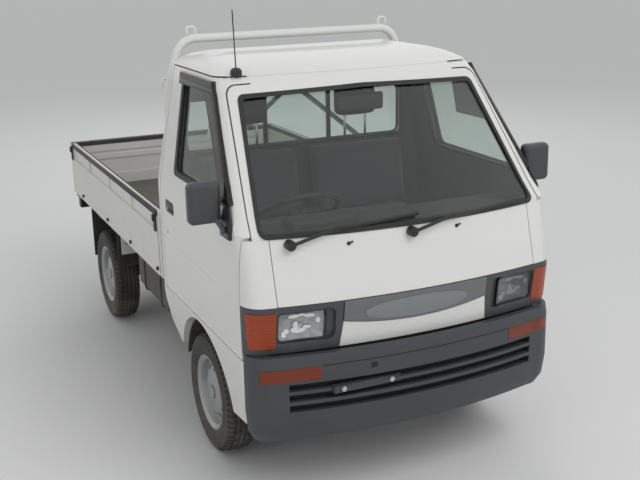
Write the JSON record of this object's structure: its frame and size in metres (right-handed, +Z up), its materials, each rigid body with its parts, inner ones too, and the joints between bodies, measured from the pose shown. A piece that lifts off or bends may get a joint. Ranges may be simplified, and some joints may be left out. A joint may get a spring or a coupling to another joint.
{
  "type": "kei truck",
  "caption": "Small cab-over pickup truck with a two-seat cab, hinged doors, a drop-side load bed, steered front wheels and freely rolling wheels.",
  "frame": {"origin": "on the ground, midway along the truck between bumper face and tailgate, on its centre plane", "axes": "+X towards the truck's left side, +Y towards its rear, +Z up"},
  "size_m": [1.66, 3.2955, 1.916],
  "materials": {
    "white_paint": "glossy white enamel",
    "bed_paint": "worn white enamel",
    "floor_paint": "worn dark bed coating",
    "inner_paint": "satin pale grey",
    "bumper_plastic": "grained dark grey",
    "trim_plastic": "satin dark grey",
    "black_plastic": "satin black",
    "seal_rubber": "satin black rubber",
    "window_glass": "clear with a faint green tint",
    "smoke_acrylic": "smoked",
    "lamp_clear": "fluted clear lens",
    "lamp_amber": "amber lens",
    "lamp_red": "red lens",
    "seat_cloth": "grey woven cloth",
    "dash_plastic": "grained grey",
    "frame_steel": "satin black chassis paint",
    "engine_metal": "cast",
    "exhaust_steel": "dull",
    "tyre_rubber": "matte",
    "rim_steel": "satin silver"
  },
  "bodies": {
    "truck": {"amber_lamps": "lamp_amber", "antenna": "black_plastic", "bed_floor": "floor_paint", "bumper": "bumper_plastic", "cab_back": "white_paint", "cab_floor": "inner_paint", "chassis": "frame_steel", "corner_panels": "white_paint", "dash": "dash_plastic", "engine": "engine_metal", "exhaust": "exhaust_steel", "front_panel": "white_paint", "front_suspension": "frame_steel", "fuel_tank": "frame_steel", "grille_panel": "white_paint", "guard_frame": "white_paint", "headboard": "bed_paint", "headlamps": "lamp_clear", "lamp_band": "trim_plastic", "lower_sides": "white_paint", "mud_flaps": "seal_rubber", "rear_lamps": "lamp_red", "rear_suspension": "frame_steel", "rear_window": "window_glass", "roof": "white_paint", "seats": "seat_cloth", "spare_wheel": "tyre_rubber", "windscreen": "window_glass", "windscreen_frame": "white_paint", "windscreen_seal": "seal_rubber", "wipers": "black_plastic"},
    "door_right": {"door_right": "white_paint", "door_glass_right": "window_glass", "visor_right": "smoke_acrylic", "mirror_right": "trim_plastic"},
    "gate_right": {"gate_right": "bed_paint"},
    "knuckle_right": {"knuckle_right": "frame_steel"},
    "wheel_front_right": {"tyre_front_right": "tyre_rubber", "rim_front_right": "rim_steel"},
    "wheel_rear_right": {"tyre_rear_right": "tyre_rubber", "rim_rear_right": "rim_steel"},
    "door_left": {"door_left": "white_paint", "door_glass_left": "window_glass", "visor_left": "smoke_acrylic", "mirror_left": "trim_plastic"},
    "gate_left": {"gate_left": "bed_paint"},
    "knuckle_left": {"knuckle_left": "frame_steel"},
    "wheel_front_left": {"tyre_front_left": "tyre_rubber", "rim_front_left": "rim_steel"},
    "wheel_rear_left": {"tyre_rear_left": "tyre_rubber", "rim_rear_left": "rim_steel"},
    "tailgate": {"tailgate": "bed_paint"},
    "steering_wheel": {"steering_wheel": "black_plastic"}
  },
  "joints": [
    {"name": "door_right_hinge", "type": "hinge", "parent": "truck", "child": "door_right", "pos_m": [-0.69, -1.4825, 0.85], "axis": [0, 0, 1], "range_deg": [0, 65]},
    {"name": "door_left_hinge", "type": "hinge", "parent": "truck", "child": "door_left", "pos_m": [0.69, -1.4825, 0.85], "axis": [0, 0, -1], "range_deg": [0, 65]},
    {"name": "gate_right_hinge", "type": "hinge", "parent": "truck", "child": "gate_right", "pos_m": [-0.6905, 0.6295, 0.632], "axis": [0, -1, 0], "range_deg": [0, 175]},
    {"name": "gate_left_hinge", "type": "hinge", "parent": "truck", "child": "gate_left", "pos_m": [0.6905, 0.6295, 0.632], "axis": [0, 1, 0], "range_deg": [0, 175]},
    {"name": "tailgate_hinge", "type": "hinge", "parent": "truck", "child": "tailgate", "pos_m": [0, 1.6405, 0.632], "axis": [-1, 0, 0], "range_deg": [0, 175]},
    {"name": "steer_right", "type": "hinge", "parent": "truck", "child": "knuckle_right", "pos_m": [-0.565, -0.9275, 0.165], "axis": [0.2115, 0, 0.9774], "range_deg": [-33, 33]},
    {"name": "steer_left", "type": "hinge", "parent": "truck", "child": "knuckle_left", "pos_m": [0.565, -0.9275, 0.165], "axis": [-0.2115, 0, 0.9774], "range_deg": [-33, 33]},
    {"name": "steering_wheel_turn", "type": "hinge", "parent": "truck", "child": "steering_wheel", "pos_m": [-0.29, -1.0725, 1.07], "axis": [0, 0.5736, 0.8192], "range_deg": [-528, 528]},
    {"name": "wheel_front_right_spin", "type": "hinge", "parent": "knuckle_right", "child": "wheel_front_right", "pos_m": [-0.605, -0.9275, 0.265], "axis": [1, 0, 0], "continuous": true},
    {"name": "wheel_front_left_spin", "type": "hinge", "parent": "knuckle_left", "child": "wheel_front_left", "pos_m": [0.605, -0.9275, 0.265], "axis": [1, 0, 0], "continuous": true},
    {"name": "wheel_rear_right_spin", "type": "hinge", "parent": "truck", "child": "wheel_rear_right", "pos_m": [-0.605, 0.9725, 0.265], "axis": [1, 0, 0], "continuous": true},
    {"name": "wheel_rear_left_spin", "type": "hinge", "parent": "truck", "child": "wheel_rear_left", "pos_m": [0.605, 0.9725, 0.265], "axis": [1, 0, 0], "continuous": true}
  ],
  "couplings": [
    {"joint": "steer_left", "follows": "steer_right", "ratio": 1},
    {"joint": "steering_wheel_turn", "follows": "steer_right", "ratio": 16}
  ]
}
